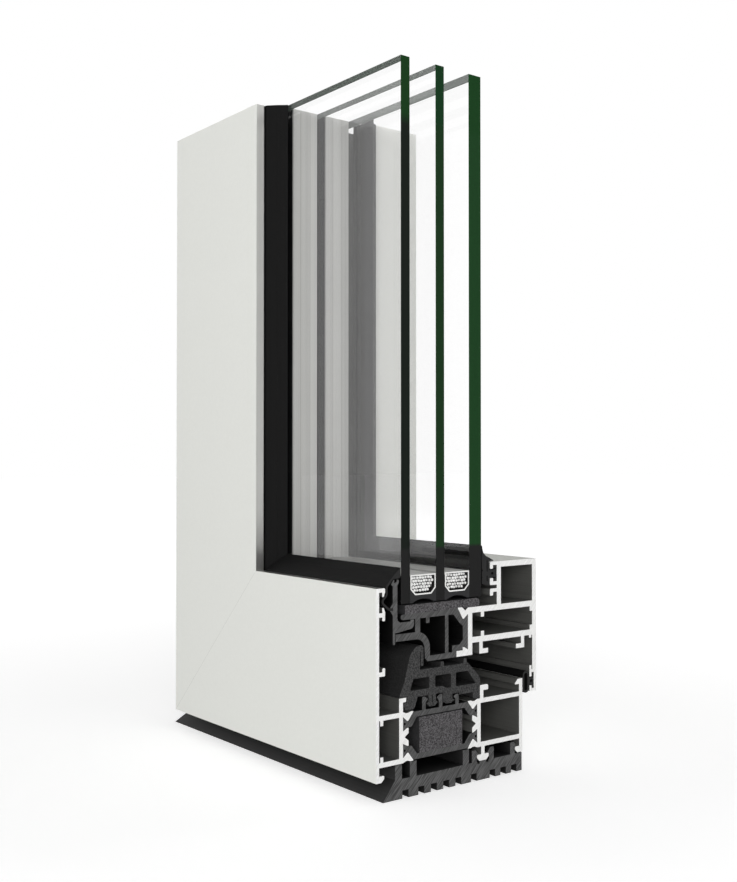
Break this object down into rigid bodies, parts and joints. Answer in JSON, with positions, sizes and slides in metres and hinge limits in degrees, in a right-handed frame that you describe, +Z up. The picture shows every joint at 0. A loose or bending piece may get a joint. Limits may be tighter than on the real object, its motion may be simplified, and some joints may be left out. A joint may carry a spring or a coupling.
{
  "type": "window frame profile section",
  "caption": "Corner sample of a thermally broken aluminium window: mitred sill and jamb profiles with a hidden sash, gaskets and triple glazing, cut to show the section.",
  "frame": {"origin": "centre of the footprint box, on the underside of the base profile", "axes": "+Z up along the jamb, +X along the sill towards the cut end, +Y from the outside face towards the room"},
  "size_m": [0.1492, 0.0776, 0.258],
  "materials": {
    "coated_aluminium": "satin off-white powder coat, bare metal on the cut ends",
    "polyamide": "dark grey extruded polyamide",
    "foam": "grey closed cell foam",
    "centre_rubber": "grey microcellular rubber",
    "rubber": "black extruded rubber",
    "glass": "clear float glass with green edges",
    "spacer": "bright rolled spacer bar",
    "desiccant": "white beads",
    "sealant": "dark grey polysulphide sealant",
    "base_plastic": "dark grey extruded plastic"
  },
  "bodies": {
    "root": {"base_profile": "base_plastic", "sill_frame_outer_shell": "coated_aluminium", "jamb_frame_outer_shell": "coated_aluminium", "sill_frame_inner_shell": "coated_aluminium", "jamb_frame_inner_shell": "coated_aluminium", "sill_upper_strip": "polyamide", "jamb_upper_strip": "polyamide", "sill_lower_strip": "polyamide", "jamb_lower_strip": "polyamide", "sill_foam_core": "foam", "jamb_foam_core": "foam", "sill_central_gasket": "centre_rubber", "jamb_central_gasket": "centre_rubber", "sill_sash_shell": "coated_aluminium", "jamb_sash_shell": "coated_aluminium", "sill_sash_strip": "polyamide", "jamb_sash_strip": "polyamide", "sill_glazing_clip": "polyamide", "jamb_glazing_clip": "polyamide", "sill_outside_gasket": "rubber", "jamb_outside_gasket": "rubber", "sill_inside_gasket": "rubber", "jamb_inside_gasket": "rubber", "sill_overlap_gasket": "rubber", "jamb_overlap_gasket": "rubber", "sill_glazing_tape": "foam", "jamb_glazing_tape": "foam", "outer_pane": "glass", "middle_pane": "glass", "inner_pane": "glass", "outer_spacer": "spacer", "inner_spacer": "spacer", "outer_desiccant": "desiccant", "inner_desiccant": "desiccant", "outer_edge_seal": "sealant", "inner_edge_seal": "sealant"}
  },
  "joints": []
}
